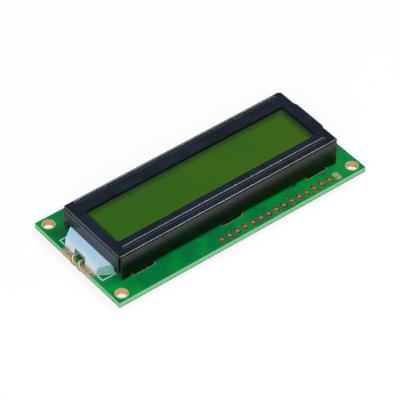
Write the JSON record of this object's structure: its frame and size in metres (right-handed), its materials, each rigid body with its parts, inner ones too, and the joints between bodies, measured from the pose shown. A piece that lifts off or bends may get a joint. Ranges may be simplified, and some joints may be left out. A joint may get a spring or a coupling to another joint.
{
  "type": "character lcd module",
  "caption": "Two-line character display on a green board under a black stamped bezel, with an edge-lit backlight and a row of header holes.",
  "frame": {"origin": "centre of the four mounting holes, on the underside of the board", "axes": "+X along the board away from the lamp, +Y across the board away from the header holes, +Z out of the display"},
  "size_m": [0.08, 0.036, 0.0109],
  "materials": {
    "solder_mask": "glossy green solder mask over glass-fibre laminate, pale cut edges",
    "gold_plating": "satin plated copper",
    "pad_copper": "bare soldered copper pad, slightly oxidised",
    "tinned_copper": "dull tinned copper",
    "white_ink": "screen-printed ink",
    "black_steel": "satin black coated steel sheet",
    "front_film": "glossy polarizing film over a dark yellow-green display",
    "glass": "clear float glass",
    "seal_resin": "cured sealing resin",
    "crystal": "yellow-green liquid crystal layer",
    "rear_film": "transflective polarizing film",
    "port_resin": "clear amber cured resin",
    "elastomer": "grey silicone with conducting layers",
    "white_moulding": "white moulded plastic",
    "diffuser_film": "matte white diffusing film",
    "clear_acrylic": "clear acrylic, faintly frosted",
    "white_film": "white reflecting film",
    "clear_epoxy": "clear lamp epoxy",
    "tinned_steel": "tinned steel leg",
    "solder": "bright solder",
    "black_resin": "black encapsulating resin, smooth and slightly glossy",
    "resistor_glaze": "black resistor glaze",
    "capacitor_ceramic": "tan ceramic"
  },
  "bodies": {
    "root": {"pcb": "solder_mask", "mounting_hole_plating": "gold_plating", "header_pads": "pad_copper", "pin_one_pad": "tinned_copper", "slot_pads": "tinned_copper", "via_pad": "pad_copper", "contact_fingers": "gold_plating", "lamp_pads": "gold_plating", "lamp_outline": "white_ink", "bezel": "black_steel", "front_polarizer": "front_film", "front_glass": "glass", "cell_seal": "seal_resin", "crystal_layer": "crystal", "rear_glass": "glass", "rear_polarizer": "rear_film", "fill_port_plug": "port_resin", "contact_strip_near": "elastomer", "contact_strip_far": "elastomer", "backlight_frame": "white_moulding", "diffuser": "diffuser_film", "light_guide": "clear_acrylic", "reflector": "white_film", "lamp": "clear_epoxy", "lamp_legs": "tinned_steel", "leg_solder": "solder", "pad_solder": "solder", "controller_dome": "black_resin", "driver_dome": "black_resin", "rear_pads": "tinned_copper", "resistors": "resistor_glaze", "resistor_caps": "solder", "capacitors": "capacitor_ceramic", "capacitor_caps": "solder"}
  },
  "joints": []
}
